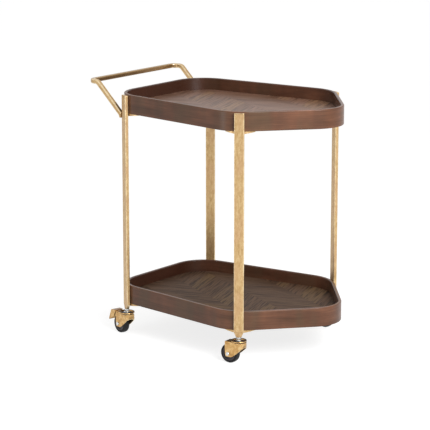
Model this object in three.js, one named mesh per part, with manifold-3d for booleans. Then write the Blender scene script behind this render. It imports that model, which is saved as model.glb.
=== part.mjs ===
// A two-tier bar cart on four swivel casters.
// Millimetres, +Z up, +X from the push handle to the nose. The origin is on the ground under the
// middle of the cart, which is the same on both sides of the XZ plane.

import * as THREE from 'three';
import { mergeVertices } from 'three/addons/utils/BufferGeometryUtils.js';
import Module from 'manifold-3d';

const wasm = await Module();
wasm.setup();

// Clearances
const touchGap = 0.3;
const runningGap = 0.35;
const overrun = 2;

// Trays: a pentagon with round corners, square at the handle end and pointed at the nose.
// Each corner is given where its two walls would meet if they were not rounded.
const trayEndX = -258;
const trayEndHalfWidth = 175.5;
const trayWideX = 176;
const trayWideHalfWidth = 224.55;
const trayNoseX = 370.7;
const trayEndRadius = 90;
const trayWideRadius = 105;
const trayNoseRadius = 85;
const cornerSteps = 9;
const rimHeight = 50;
const rimThickness = 8.5;
const rimTopRounding = 2.2;
const rimFootRounding = 0.8;
const roundingMidShare = 0.3;
const boardThickness = 18;
const upperRimTop = 652;
const lowerRimTop = 137;

// Legs: flat rectangular tubes that stand against the rounded tray corners
const legWidth = 25.4;
const legDepth = 9.5;
const legWall = 1.4;
const legCornerRadius = 2.2;
const legCornerSteps = 3;
const legTopBelowRim = 3;
const legTubeBottom = 84;
const rearLegFacing = THREE.MathUtils.degToRad(117);
const frontLegFacing = THREE.MathUtils.degToRad(59);
const capThickness = 2;
const capRounding = 0.9;
const plugDepth = 8;

// Leg feet: solid ends that narrow to the caster stem
const footTipHeight = 71;
const footTipWidth = 14;
const footTipDepth = 8.5;
const footStubLength = 20;

// Push handle: square tube bent to a U that slopes up from the rear legs
const handleTop = 680.7;
const handleReach = 342.9;
const handleWidth = 12;
const handleHeight = 12;
const handleCornerRadius = 3;
const handleCornerSteps = 2;
const handleEndBend = 18;
const handleArmBend = 16;
const handleArmSlope = THREE.MathUtils.degToRad(44);
const handleLevelRun = 3;
const handleTailBottom = 588;
const handleTailInset = 4;
const handleBendSteps = 4;

// Corner brackets under each tray, and the screw in each
const bracketThickness = 4;
const bracketSideHalf = 38;
const bracketCut = 9;
const bracketTaper = 3;
const bracketTailHalf = 15;
const bracketReach = 46;
const bracketArcSteps = 8;
const bracketScrewInset = 27;
const screwRadius = 1.9;
const screwLength = 16;
const screwHeadRadius = 4.2;
const screwHeadHeight = 2.4;
const screwHeadEdge = 1;
const screwFacets = 10;
const screwPointShare = 0.4;

// Casters
const wheelRadius = 25.4;
const wheelTrail = 25.5;
const tyreWidth = 18;
const tyreThickness = 5.4;
const tyreShoulder = 2;
const tyreShoulderDrop = 1.2;
const hubBossHalf = 10.6;
const hubBossRadius = 8;
const hubWebHalf = 5.5;
const hubRimHalf = 8.2;
const hubRimDepth = 3;
const wheelFacets = 26;
const hubFacets = 20;
const axleRadius = 3;
const axleHeadRadius = 4.8;
const axleHeadHeight = 2.6;
const axleHeadFlat = 3;
const axleFacets = 12;
const forkInnerHalf = 11.4;
const forkPlate = 2.1;
const forkRear = 34.5;
const forkToeRear = 34;
const forkToeFront = 17;
const forkToeHeight = 17.5;
const forkToeRounding = 5;
const forkWaistX = 7;
const forkWaistHeight = 33;
const forkFrontX = -15;
const forkFrontHeight = 47;
const crownRadius = 20.3;
const crownTop = 63.5;
const crownThickness = 5.5;
const crownEdge = 1.4;
const crownLip = 2.4;
const crownDish = 2.6;
const crownFacets = 24;
const stemNeckRadius = 5;
const stemThreadRadius = 3.1;
const stemThreadLength = 10.5;
const stemCollarRadius = 6.2;
const stemFlangeRadius = 8.5;
const stemFlangeHeight = 2;
const stemRivetRadius = 7.4;
const stemRivetHeight = 2.6;
const stemFacets = 16;
const rearCasterHeading = THREE.MathUtils.degToRad(165);
const frontCasterHeading = THREE.MathUtils.degToRad(183);

// Brake pedals, on the two casters at the handle end
const brakePivotX = 32;
const brakePivotHeight = 54.8;
const brakePinRadius = 1.5;
const brakeBossRadius = 3.3;
const brakePlate = 2.2;
const brakeShoeX = 36.8;
const brakeShoeHeight = 50.9;
const brakeHeelX = 52;
const brakeHeelHeight = 60;
const brakeKneeX = 58.5;
const brakeKneeHeight = 57;
const brakeTipX = 69;
const brakeTipHeight = 29;
const brakeTreadStart = 40;
const brakeTreadHalf = 14;
const brakeSideGap = 0.8;
const brakedCrownEnd = 24.5;

// Colours and finishes
const antiqueGold = { color: 0xc9a46c, roughness: 0.38, metalness: 0.9 };
const dimGold = { color: 0xb08a52, roughness: 0.42, metalness: 0.9 };
const zincSteel = { color: 0xc4c6c8, roughness: 0.3, metalness: 0.95 };
const walnutVeneer = { color: 0x5a4236, roughness: 0.45, metalness: 0 };
const walnutRim = { color: 0x57392d, roughness: 0.4, metalness: 0 };
const blackRubber = { color: 0x1f1f21, roughness: 0.75, metalness: 0 };
const blackPlastic = { color: 0x2a2a2d, roughness: 0.5, metalness: 0 };

const upperTrayBottom = upperRimTop - rimHeight;
const lowerTrayBottom = lowerRimTop - rimHeight;
const legTop = upperRimTop - legTopBelowRim;

const cart = new THREE.Group();

// Shared shape tools

function place(parent, name, geometry, finish) {
  const mesh = new THREE.Mesh(geometry, new THREE.MeshStandardMaterial(finish));
  mesh.name = name;
  parent.add(mesh);
  return mesh;
}

function closed(geometry) {
  const bare = geometry.index ? geometry.toNonIndexed() : geometry.clone();
  bare.deleteAttribute('normal');
  bare.deleteAttribute('uv');
  return mergeVertices(bare);
}

function toSolid(geometry) {
  const merged = closed(geometry);
  return new wasm.Manifold(new wasm.Mesh({
    numProp: 3,
    vertProperties: new Float32Array(merged.attributes.position.array),
    triVerts: new Uint32Array(merged.index.array),
  }));
}

function toGeometry(solid) {
  const mesh = solid.getMesh();
  const geometry = new THREE.BufferGeometry();
  geometry.setAttribute('position', new THREE.BufferAttribute(mesh.vertProperties, mesh.numProp));
  geometry.setIndex(new THREE.BufferAttribute(mesh.triVerts, 1));
  const flat = geometry.toNonIndexed();
  flat.computeVertexNormals();
  return flat;
}

function join(geometries) {
  return toGeometry(geometries.map(toSolid).reduce((sum, next) => sum.add(next)));
}

function cut(geometry, tools) {
  return toGeometry(tools.map(toSolid).reduce((rest, next) => rest.subtract(next), toSolid(geometry)));
}

// Skin over rings of points that all have the same count. The last ring joins the first one
// when the skin is looped, and otherwise both ends are closed by flat caps.
function skin(rings, looped) {
  const count = rings[0].length;
  const points = rings.flat();
  const faces = [];
  const ringPairs = looped ? rings.length : rings.length - 1;
  for (let ring = 0; ring < ringPairs; ring++) {
    const low = ring * count;
    const high = ((ring + 1) % rings.length) * count;
    for (let i = 0; i < count; i++) {
      const next = (i + 1) % count;
      faces.push(low + i, low + next, high + next, low + i, high + next, high + i);
    }
  }
  if (!looped) {
    const last = (rings.length - 1) * count;
    for (let i = 1; i < count - 1; i++) {
      faces.push(0, i + 1, i, last, last + i, last + i + 1);
    }
  }
  const geometry = new THREE.BufferGeometry().setFromPoints(points);
  geometry.setIndex(faces);
  const flat = geometry.toNonIndexed();
  flat.computeVertexNormals();
  return flat;
}

function roundedRectangle(width, depth, radius, steps) {
  const points = [];
  const corners = [[1, 1, 0], [-1, 1, 1], [-1, -1, 2], [1, -1, 3]];
  for (const [sideX, sideY, quarter] of corners) {
    for (let step = 0; step <= steps; step++) {
      const angle = (quarter + step / steps) * Math.PI / 2;
      points.push(new THREE.Vector2(
        sideX * (width / 2 - radius) + radius * Math.cos(angle),
        sideY * (depth / 2 - radius) + radius * Math.sin(angle),
      ));
    }
  }
  return points;
}

function atHeight(points, height) {
  return points.map((point) => new THREE.Vector3(point.x, point.y, height));
}

function plate(points, thickness, holes = []) {
  const shape = new THREE.Shape(points);
  for (const hole of holes) {
    const ring = new THREE.Path();
    ring.absarc(hole.x, hole.y, hole.radius, 0, 2 * Math.PI, true);
    shape.holes.push(ring);
  }
  return new THREE.ExtrudeGeometry(shape, {
    depth: thickness, bevelEnabled: false, curveSegments: screwFacets / 2,
  });
}

// An outline in the XZ plane, given a thickness along Y and centred on the given Y
function uprightPlate(points, thickness, centreY) {
  const geometry = plate(points, thickness);
  geometry.translate(0, 0, -thickness / 2);
  geometry.rotateX(Math.PI / 2);
  geometry.translate(0, centreY, 0);
  return geometry;
}

function turned(profile, facets) {
  const geometry = new THREE.LatheGeometry(
    profile.map(([radius, height]) => new THREE.Vector2(radius, height)), facets);
  geometry.rotateX(Math.PI / 2);
  return geometry;
}

function upright(radius, low, high, facets) {
  const geometry = new THREE.CylinderGeometry(radius, radius, high - low, facets);
  geometry.rotateX(Math.PI / 2);
  geometry.translate(0, 0, (low + high) / 2);
  return geometry;
}

// Tray outline

const trayCorners = [
  { x: trayEndX, y: -trayEndHalfWidth, radius: trayEndRadius },
  { x: trayWideX, y: -trayWideHalfWidth, radius: trayWideRadius },
  { x: trayNoseX, y: 0, radius: trayNoseRadius },
  { x: trayWideX, y: trayWideHalfWidth, radius: trayWideRadius },
  { x: trayEndX, y: trayEndHalfWidth, radius: trayEndRadius },
];

// Centre of each corner's round, and the angles where the round starts and ends
function cornerRounds() {
  const count = trayCorners.length;
  return trayCorners.map((corner, i) => {
    const here = new THREE.Vector2(corner.x, corner.y);
    const before = trayCorners[(i + count - 1) % count];
    const after = trayCorners[(i + 1) % count];
    const inward = new THREE.Vector2(before.x, before.y).sub(here).normalize();
    const onward = new THREE.Vector2(after.x, after.y).sub(here).normalize();
    const halfAngle = Math.acos(inward.dot(onward)) / 2;
    const bisector = inward.clone().add(onward).normalize();
    const centre = here.clone().addScaledVector(bisector, corner.radius / Math.sin(halfAngle));
    const start = Math.atan2(-inward.x, inward.y) + Math.PI;
    const turn = Math.PI - 2 * halfAngle;
    return { centre, radius: corner.radius, start, turn };
  });
}

const rounds = cornerRounds();

// The tray's outline, moved inwards by the inset
function trayOutline(inset) {
  const points = [];
  for (const round of rounds) {
    for (let step = 0; step <= cornerSteps; step++) {
      const angle = round.start + round.turn * step / cornerSteps;
      points.push(new THREE.Vector2(
        round.centre.x + (round.radius - inset) * Math.cos(angle),
        round.centre.y + (round.radius - inset) * Math.sin(angle),
      ));
    }
  }
  return points;
}

// Corners of the cart: which tray corner, which way the leg faces and the caster trails
const cornerPlaces = [
  { name: 'rear_right', round: 0, facing: -rearLegFacing, heading: rearCasterHeading, braked: true },
  { name: 'front_right', round: 1, facing: -frontLegFacing, heading: frontCasterHeading, braked: false },
  { name: 'front_left', round: 3, facing: frontLegFacing, heading: -frontCasterHeading, braked: false },
  { name: 'rear_left', round: 4, facing: rearLegFacing, heading: -rearCasterHeading, braked: true },
];

// Point at a distance outside the tray wall, in the direction that the leg faces
function outsideWall(corner, distance) {
  const round = rounds[corner.round];
  const reach = round.radius + distance;
  return new THREE.Vector2(
    round.centre.x + reach * Math.cos(corner.facing),
    round.centre.y + reach * Math.sin(corner.facing),
  );
}

function legCentre(corner) {
  return outsideWall(corner, touchGap + legDepth / 2);
}

// A group at the leg, with local +Y pointing away from the tray and X along the leg's wide face
function legGroup(corner) {
  const group = new THREE.Group();
  const centre = legCentre(corner);
  group.position.set(centre.x, centre.y, 0);
  group.rotation.z = corner.facing - Math.PI / 2;
  cart.add(group);
  return group;
}

// Trays

function rimGeometry(top) {
  const bottom = top - rimHeight;
  const nearEdge = rimTopRounding * roundingMidShare;
  const profile = [
    [rimFootRounding, bottom],
    [0, bottom + rimFootRounding],
    [0, top - rimTopRounding],
    [nearEdge, top - nearEdge],
    [rimTopRounding, top],
    [rimThickness - rimTopRounding, top],
    [rimThickness - nearEdge, top - nearEdge],
    [rimThickness, top - rimTopRounding],
    [rimThickness, bottom + rimFootRounding],
    [rimThickness - rimFootRounding, bottom],
  ];
  return skin(profile.map(([inset, height]) => atHeight(trayOutline(inset), height)), true);
}

function screwPlace(corner) {
  return outsideWall(corner, -bracketScrewInset);
}

function boardGeometry(bottom) {
  const board = plate(trayOutline(rimThickness + touchGap), boardThickness);
  board.translate(0, 0, bottom);
  const pilotTop = bottom + screwLength - bracketThickness + touchGap;
  const pilots = cornerPlaces.map((corner) => {
    const at = screwPlace(corner);
    const pilot = upright(screwRadius + touchGap, bottom - overrun, pilotTop, screwFacets);
    pilot.translate(at.x, at.y, 0);
    return pilot;
  });
  return cut(board, pilots);
}

function buildTray(level, top) {
  const bottom = top - rimHeight;
  place(cart, `${level}_tray_rim`, rimGeometry(top), walnutRim);
  place(cart, `${level}_tray_floor`, boardGeometry(bottom), walnutVeneer);
}

// Legs

function legTubeGeometry() {
  const outer = roundedRectangle(legWidth, legDepth, legCornerRadius, legCornerSteps);
  const innerRadius = legCornerRadius - legWall;
  const inner = roundedRectangle(legWidth - 2 * legWall, legDepth - 2 * legWall, innerRadius, legCornerSteps);
  const tubeTop = legTop - capThickness - touchGap;
  return skin([
    atHeight(outer, legTubeBottom),
    atHeight(outer, tubeTop),
    atHeight(inner, tubeTop),
    atHeight(inner, legTubeBottom),
  ], true);
}

const plugWidth = legWidth - 2 * (legWall + touchGap);
const plugThickness = legDepth - 2 * (legWall + touchGap);
const plugCorner = legCornerRadius - legWall;

function capGeometry() {
  const plug = roundedRectangle(plugWidth, plugThickness, plugCorner, legCornerSteps);
  const full = roundedRectangle(legWidth, legDepth, legCornerRadius, legCornerSteps);
  const top = roundedRectangle(
    legWidth - 2 * capRounding, legDepth - 2 * capRounding, legCornerRadius - capRounding, legCornerSteps);
  const plateBottom = legTop - capThickness;
  return skin([
    atHeight(plug, plateBottom - plugDepth),
    atHeight(plug, plateBottom),
    atHeight(full, plateBottom),
    atHeight(full, legTop - capRounding),
    atHeight(top, legTop),
  ], false);
}

function footGeometry() {
  const plug = roundedRectangle(plugWidth, plugThickness, plugCorner, legCornerSteps);
  const full = roundedRectangle(legWidth, legDepth, legCornerRadius, legCornerSteps);
  const tip = roundedRectangle(footTipWidth, footTipDepth, legCornerRadius, legCornerSteps);
  const shoulder = legTubeBottom - touchGap;
  const foot = skin([
    atHeight(tip, footTipHeight),
    atHeight(full, shoulder),
    atHeight(plug, shoulder),
    atHeight(plug, shoulder + footStubLength),
  ], false);
  const threadBore = upright(
    stemThreadRadius + touchGap, footTipHeight - overrun, footTipHeight + stemThreadLength + touchGap,
    stemFacets);
  return cut(foot, [threadBore]);
}

function buildLeg(corner) {
  const group = legGroup(corner);
  place(group, `leg_${corner.name}`, legTubeGeometry(), antiqueGold);
  place(group, `leg_cap_${corner.name}`, capGeometry(), antiqueGold);
  place(group, `leg_foot_${corner.name}`, footGeometry(), antiqueGold);
}

// Corner brackets and their screws, in the leg's own group

// The outer edge follows the tray's round corner, and the tail narrows towards the screw
function bracketOutline(corner) {
  const radius = rounds[corner.round].radius;
  const wall = -legDepth / 2 - touchGap;
  const halfTurn = Math.asin(bracketSideHalf / radius);
  const points = [];
  for (let step = 0; step <= bracketArcSteps; step++) {
    const angle = halfTurn * (1 - 2 * step / bracketArcSteps);
    points.push(new THREE.Vector2(
      radius * Math.sin(angle), wall - radius * (1 - Math.cos(angle))));
  }
  const shoulder = wall - radius * (1 - Math.cos(halfTurn)) - bracketCut;
  points.push(new THREE.Vector2(-bracketSideHalf + bracketTaper, shoulder));
  points.push(new THREE.Vector2(-bracketTailHalf, wall - bracketReach));
  points.push(new THREE.Vector2(bracketTailHalf, wall - bracketReach));
  points.push(new THREE.Vector2(bracketSideHalf - bracketTaper, shoulder));
  return points;
}

function bracketGeometry(corner, trayBottom) {
  const screwY = -legDepth / 2 - touchGap - bracketScrewInset;
  const hole = { x: 0, y: screwY, radius: screwRadius + touchGap };
  const geometry = plate(bracketOutline(corner), bracketThickness, [hole]);
  geometry.translate(0, 0, trayBottom - touchGap - bracketThickness);
  return geometry;
}

function screwGeometry(trayBottom) {
  const headTop = trayBottom - bracketThickness - 2 * touchGap;
  const point = headTop + screwLength;
  const screw = turned([
    [0, headTop - screwHeadHeight],
    [screwHeadRadius - screwHeadEdge, headTop - screwHeadHeight],
    [screwHeadRadius, headTop - screwHeadHeight + screwHeadEdge],
    [screwHeadRadius, headTop],
    [screwRadius, headTop],
    [screwRadius, point - 2 * screwRadius],
    [screwRadius * screwPointShare, point - touchGap],
    [0, point - touchGap],
  ], screwFacets);
  screw.translate(0, -legDepth / 2 - touchGap - bracketScrewInset, 0);
  return screw;
}

function buildBrackets(corner) {
  const group = legGroup(corner);
  for (const [level, bottom] of [['upper', upperTrayBottom], ['lower', lowerTrayBottom]]) {
    place(group, `${level}_bracket_${corner.name}`, bracketGeometry(corner, bottom), dimGold);
    place(group, `${level}_bracket_screw_${corner.name}`, screwGeometry(bottom), zincSteel);
  }
}

// Push handle: a pen walks along the tube's centre line and leaves a ring of points at each stop

function handlePen(start) {
  const section = roundedRectangle(handleWidth, handleHeight, handleCornerRadius, handleCornerSteps);
  const pen = {
    at: start.clone(),
    ahead: new THREE.Vector3(0, 0, 1),
    side: new THREE.Vector3(0, -1, 0),
    up: new THREE.Vector3(1, 0, 0),
    rings: [],
  };
  pen.mark = () => pen.rings.push(section.map((point) => pen.at.clone()
    .addScaledVector(pen.side, point.x).addScaledVector(pen.up, point.y)));
  pen.run = (length) => {
    pen.at.addScaledVector(pen.ahead, length);
    pen.mark();
  };
  pen.bend = (axis, angle, radius) => {
    const step = angle / handleBendSteps;
    const chord = 2 * radius * Math.sin(Math.abs(step) / 2);
    for (let i = 0; i < handleBendSteps; i++) {
      pen.ahead.applyAxisAngle(axis, step / 2);
      pen.at.addScaledVector(pen.ahead, chord);
      pen.ahead.applyAxisAngle(axis, step / 2);
      pen.side.applyAxisAngle(axis, step);
      pen.up.applyAxisAngle(axis, step);
      pen.mark();
    }
  };
  return pen;
}

// Direction out of the narrow side of a rear leg that the handle meets
function narrowSideAngle(corner) {
  return corner.facing + Math.sign(corner.facing) * Math.PI / 2;
}

// Point at a distance outside the middle of that narrow side
function besideLeg(corner, distance) {
  const centre = legCentre(corner);
  const angle = narrowSideAngle(corner);
  const reach = legWidth / 2 + distance;
  return new THREE.Vector2(centre.x + reach * Math.cos(angle), centre.y + reach * Math.sin(angle));
}

// Middle of the handle's tail, set out so that its inner corner is flush with the leg's inner side
function tailCentre(corner) {
  const beside = besideLeg(corner, handleTailInset);
  const turn = Math.abs(Math.cos(corner.facing)) + Math.abs(Math.sin(corner.facing));
  const cornerReach = (handleWidth / 2 - handleCornerRadius) * turn + handleCornerRadius;
  const shift = cornerReach - legDepth / 2;
  return new THREE.Vector2(
    beside.x + shift * Math.cos(corner.facing), beside.y + shift * Math.sin(corner.facing));
}

// Block that trims the handle's tail flush with the leg's narrow side
function tailTrim(corner) {
  const face = besideLeg(corner, touchGap);
  const block = new THREE.BoxGeometry(2 * legWidth, 2 * legWidth, 2 * handleTop);
  block.translate(-legWidth, 0, 0);
  block.rotateZ(narrowSideAngle(corner));
  block.translate(face.x, face.y, 0);
  return block;
}

function handleGeometry() {
  const right = cornerPlaces[0];
  const left = cornerPlaces[3];
  const tail = tailCentre(right);
  const barX = -handleReach + handleWidth / 2;
  const barZ = handleTop - handleHeight / 2;
  const armReach = tail.x - barX - handleEndBend - handleLevelRun;
  const armRun = (armReach - handleArmBend) / Math.cos(handleArmSlope);
  const armDrop = handleArmBend + armRun * Math.sin(handleArmSlope);
  const tailRun = barZ - armDrop - handleTailBottom;
  const barRun = -2 * tail.y - 2 * handleEndBend;
  const steepening = Math.PI / 2 - handleArmSlope;
  const acrossAxis = new THREE.Vector3(0, 1, 0);
  const uprightAxis = new THREE.Vector3(0, 0, 1);
  const pen = handlePen(new THREE.Vector3(tail.x, tail.y, handleTailBottom));
  pen.mark();
  pen.run(tailRun);
  pen.bend(acrossAxis, -steepening, handleArmBend);
  pen.run(armRun);
  pen.bend(acrossAxis, -handleArmSlope, handleArmBend);
  pen.run(handleLevelRun);
  pen.bend(uprightAxis, -Math.PI / 2, handleEndBend);
  pen.run(barRun);
  pen.bend(uprightAxis, -Math.PI / 2, handleEndBend);
  pen.run(handleLevelRun);
  pen.bend(acrossAxis, handleArmSlope, handleArmBend);
  pen.run(armRun);
  pen.bend(acrossAxis, steepening, handleArmBend);
  pen.run(tailRun);
  return cut(skin(pen.rings, false), [tailTrim(right), tailTrim(left)]);
}

// Casters: local +X is the side that the wheel trails to, with the stem on the local Z axis

function stemGeometry() {
  const rivetBottom = crownTop - crownThickness - forkPlate - touchGap - stemRivetHeight;
  const dishFloor = crownTop - crownDish;
  const flangeBottom = dishFloor + touchGap;
  return turned([
    [0, rivetBottom],
    [stemRivetRadius, rivetBottom],
    [stemRivetRadius, rivetBottom + stemRivetHeight],
    [stemNeckRadius, rivetBottom + stemRivetHeight],
    [stemNeckRadius, flangeBottom],
    [stemFlangeRadius, flangeBottom],
    [stemFlangeRadius, flangeBottom + stemFlangeHeight],
    [stemCollarRadius, flangeBottom + stemFlangeHeight],
    [stemCollarRadius, footTipHeight - touchGap],
    [stemThreadRadius, footTipHeight - touchGap],
    [stemThreadRadius, footTipHeight + stemThreadLength],
    [0, footTipHeight + stemThreadLength],
  ], stemFacets);
}

function crownGeometry() {
  const bottom = crownTop - crownThickness;
  const dishFloor = crownTop - crownDish;
  return turned([
    [0, bottom - touchGap],
    [crownRadius - crownEdge, bottom - touchGap],
    [crownRadius, bottom + crownEdge],
    [crownRadius, crownTop - crownEdge],
    [crownRadius - crownEdge, crownTop],
    [crownRadius - crownEdge - crownLip, crownTop],
    [crownRadius - crownEdge - crownLip - crownDish, dishFloor],
    [0, dishFloor],
  ], crownFacets);
}

// Flat top of the fork: round at the front, square at the back
function forkTopGeometry(end) {
  const half = forkInnerHalf + forkPlate;
  const points = [new THREE.Vector2(end, -half), new THREE.Vector2(end, half)];
  for (let step = 0; step <= cornerSteps; step++) {
    const angle = Math.PI * (1 / 2 + step / cornerSteps);
    points.push(new THREE.Vector2(half * Math.cos(angle), half * Math.sin(angle)));
  }
  const geometry = plate(points, forkPlate);
  geometry.translate(0, 0, crownTop - crownThickness - forkPlate);
  return geometry;
}

function forkSideGeometry(side) {
  const top = crownTop - crownThickness;
  const shape = new THREE.Shape();
  shape.moveTo(forkRear, top);
  shape.lineTo(forkFrontX, top);
  shape.lineTo(forkFrontX, forkFrontHeight);
  shape.quadraticCurveTo(forkWaistX, forkWaistHeight, forkToeFront, forkToeHeight + forkToeRounding);
  shape.lineTo(forkToeFront + forkToeRounding, forkToeHeight);
  shape.lineTo(forkToeRear - forkToeRounding, forkToeHeight);
  shape.lineTo(forkToeRear, forkToeHeight + forkToeRounding);
  return uprightPlate(shape.getPoints(cornerSteps), forkPlate, side * (forkInnerHalf + forkPlate / 2));
}

function crossBore(x, height, radius) {
  const bore = upright(radius, -crownRadius, crownRadius, axleFacets);
  bore.rotateX(Math.PI / 2);
  bore.translate(x, 0, height);
  return bore;
}

function forkGeometry(braked) {
  const topEnd = braked ? brakedCrownEnd : forkRear;
  const body = join([
    forkTopGeometry(topEnd), crownGeometry(), forkSideGeometry(1), forkSideGeometry(-1),
  ]);
  const bores = [
    upright(stemNeckRadius + runningGap, 0, crownTop + overrun, stemFacets),
    crossBore(wheelTrail, wheelRadius, axleRadius + touchGap),
  ];
  if (braked) {
    bores.push(crossBore(brakePivotX, brakePivotHeight, brakePinRadius + touchGap));
  }
  return cut(body, bores);
}

function aboutAxle(geometry) {
  geometry.rotateX(Math.PI / 2);
  geometry.translate(wheelTrail, 0, wheelRadius);
  return geometry;
}

// Closed section of a ring that is alike on both sides, from its upper side, inside to outside
function ringProfile(upper) {
  const lower = upper.map(([radius, height]) => [radius, -height]);
  return [...lower, ...upper.reverse(), lower[0]];
}

function hubGeometry() {
  const outer = wheelRadius - tyreThickness - touchGap;
  const bore = axleRadius + runningGap;
  const half = [
    [bore, hubBossHalf],
    [hubBossRadius, hubBossHalf],
    [hubBossRadius, hubWebHalf],
    [outer - hubRimDepth, hubWebHalf],
    [outer - hubRimDepth, hubRimHalf],
    [outer, hubRimHalf],
  ];
  return aboutAxle(turned(ringProfile(half), hubFacets));
}

function tyreGeometry() {
  const inner = wheelRadius - tyreThickness;
  const side = tyreWidth / 2;
  const half = [
    [inner, side - tyreShoulderDrop],
    [inner + tyreShoulder, side],
    [wheelRadius - tyreShoulder, side - tyreShoulderDrop],
    [wheelRadius, side - tyreShoulderDrop - tyreShoulder],
  ];
  return aboutAxle(turned(ringProfile(half), wheelFacets));
}

function axleGeometry() {
  const shoulder = forkInnerHalf + forkPlate + touchGap;
  const half = [
    [axleRadius, shoulder],
    [axleHeadRadius, shoulder],
    [axleHeadRadius, shoulder + axleHeadHeight / 2],
    [axleHeadFlat, shoulder + axleHeadHeight],
    [0, shoulder + axleHeadHeight],
  ];
  const mirrored = half.map(([radius, height]) => [radius, -height]).reverse();
  return aboutAxle(turned([...mirrored, ...half], axleFacets));
}

// Side view of the brake lever, from its heel over the knee to the tip and back
const leverLine = [
  [brakeHeelX - brakePlate / 2, brakeHeelHeight - brakePlate],
  [brakeKneeX - brakePlate, brakeKneeHeight - brakePlate / 2],
  [brakeTipX - brakePlate, brakeTipHeight],
  [brakeTipX, brakeTipHeight + brakePlate / 2],
  [brakeKneeX, brakeKneeHeight],
  [brakeHeelX, brakeHeelHeight],
];

function flatPoints(pairs) {
  return pairs.map(([x, z]) => new THREE.Vector2(x, z));
}

// Boss on the pin, shoe over the tyre, then the lever
function pedalOutline() {
  const boss = brakeBossRadius;
  return flatPoints([
    [brakePivotX - boss, brakePivotHeight],
    [brakePivotX - boss / 2, brakePivotHeight - boss],
    [brakePivotX + boss / 2, brakePivotHeight - boss],
    [brakeShoeX, brakeShoeHeight],
    [brakeShoeX + brakePlate, brakeShoeHeight + brakePlate],
    ...leverLine,
    [brakePivotX, brakePivotHeight + boss],
    [brakePivotX - boss, brakePivotHeight + boss / 2],
  ]);
}

// The wide tread starts on top, behind the fork
function treadOutline() {
  return flatPoints([
    [brakeTreadStart, brakeHeelHeight - brakePlate],
    ...leverLine,
    [brakeTreadStart, brakeHeelHeight],
  ]);
}

function pedalGeometry() {
  const leverWidth = 2 * (forkInnerHalf - brakeSideGap);
  const body = join([
    uprightPlate(pedalOutline(), leverWidth, 0),
    uprightPlate(treadOutline(), 2 * brakeTreadHalf, 0),
  ]);
  return cut(body, [crossBore(brakePivotX, brakePivotHeight, brakePinRadius + runningGap)]);
}

function brakePinGeometry() {
  const half = forkInnerHalf + forkPlate;
  const pin = upright(brakePinRadius, -half, half, axleFacets);
  pin.rotateX(Math.PI / 2);
  pin.translate(brakePivotX, 0, brakePivotHeight);
  return pin;
}

function buildCaster(corner) {
  const group = new THREE.Group();
  const centre = legCentre(corner);
  group.position.set(centre.x, centre.y, 0);
  group.rotation.z = corner.heading;
  cart.add(group);
  place(group, `caster_stem_${corner.name}`, stemGeometry(), zincSteel);
  place(group, `caster_fork_${corner.name}`, forkGeometry(corner.braked), antiqueGold);
  place(group, `wheel_hub_${corner.name}`, hubGeometry(), blackPlastic);
  place(group, `tyre_${corner.name}`, tyreGeometry(), blackRubber);
  place(group, `axle_${corner.name}`, axleGeometry(), zincSteel);
  if (corner.braked) {
    place(group, `brake_pedal_${corner.name}`, pedalGeometry(), antiqueGold);
    place(group, `brake_pin_${corner.name}`, brakePinGeometry(), zincSteel);
  }
}

buildTray('upper', upperRimTop);
buildTray('lower', lowerRimTop);
place(cart, 'push_handle', handleGeometry(), antiqueGold);
for (const corner of cornerPlaces) {
  buildLeg(corner);
  buildBrackets(corner);
  buildCaster(corner);
}

export default cart;
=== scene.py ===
"""Looks for the two-tier bar cart: dark walnut trays, antique gold frame and swivel casters.

Sizes are in millimetres and turned to metres where a tool takes them. +X runs from the push
handle to the nose of the trays and +Z is up, as in the frame.
"""

import math

import bmesh
import bpy
from mathutils import Matrix, Vector


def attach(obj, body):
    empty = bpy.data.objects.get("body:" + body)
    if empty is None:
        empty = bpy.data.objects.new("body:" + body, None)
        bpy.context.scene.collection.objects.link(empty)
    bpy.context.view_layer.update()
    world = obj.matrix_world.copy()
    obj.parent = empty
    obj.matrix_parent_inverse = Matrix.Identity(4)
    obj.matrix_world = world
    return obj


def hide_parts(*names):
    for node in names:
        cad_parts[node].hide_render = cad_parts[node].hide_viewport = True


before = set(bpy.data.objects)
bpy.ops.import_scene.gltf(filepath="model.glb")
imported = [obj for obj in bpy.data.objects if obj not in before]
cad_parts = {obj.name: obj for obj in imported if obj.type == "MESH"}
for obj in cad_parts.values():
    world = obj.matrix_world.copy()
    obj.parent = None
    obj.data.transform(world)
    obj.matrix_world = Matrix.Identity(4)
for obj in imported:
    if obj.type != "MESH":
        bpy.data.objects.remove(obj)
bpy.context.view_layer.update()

MM = 0.001
UP = Vector((0, 0, 1))
ACROSS = Vector((0, 1, 0))

# Slack for picking what lies at or beyond a place, and the gap under which two points are one
SLACK = 1.0
SAME_PLACE = 0.01

# Sharp edges stay sharp in the shading above this angle
SMOOTH_ANGLE = math.radians(40)

# How squarely a face looks along an axis, as a cosine: to be picked by it, to be a leg's flat, a
# skirt's hem with worn brass and painted highlight, or a pedal's top with painted shade
SQUARELY = 0.9
LEG_FLAT = 0.97
SKIRT_HEM = 0.3
PEDAL_TOP = 0.6

# Camera, at the photograph's viewing angle
PICTURE_WIDTH = 430
SENSOR_WIDTH = 36.0
FOCAL_PIXELS = 2019.4
CAMERA_PLACE = (3213.2, -4123.6, 1521.0)
CAMERA_AZIMUTH = math.radians(38.38)
CAMERA_PITCH = math.radians(12.88)
CAMERA_FAR_CLIP = 100_000.0

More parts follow.
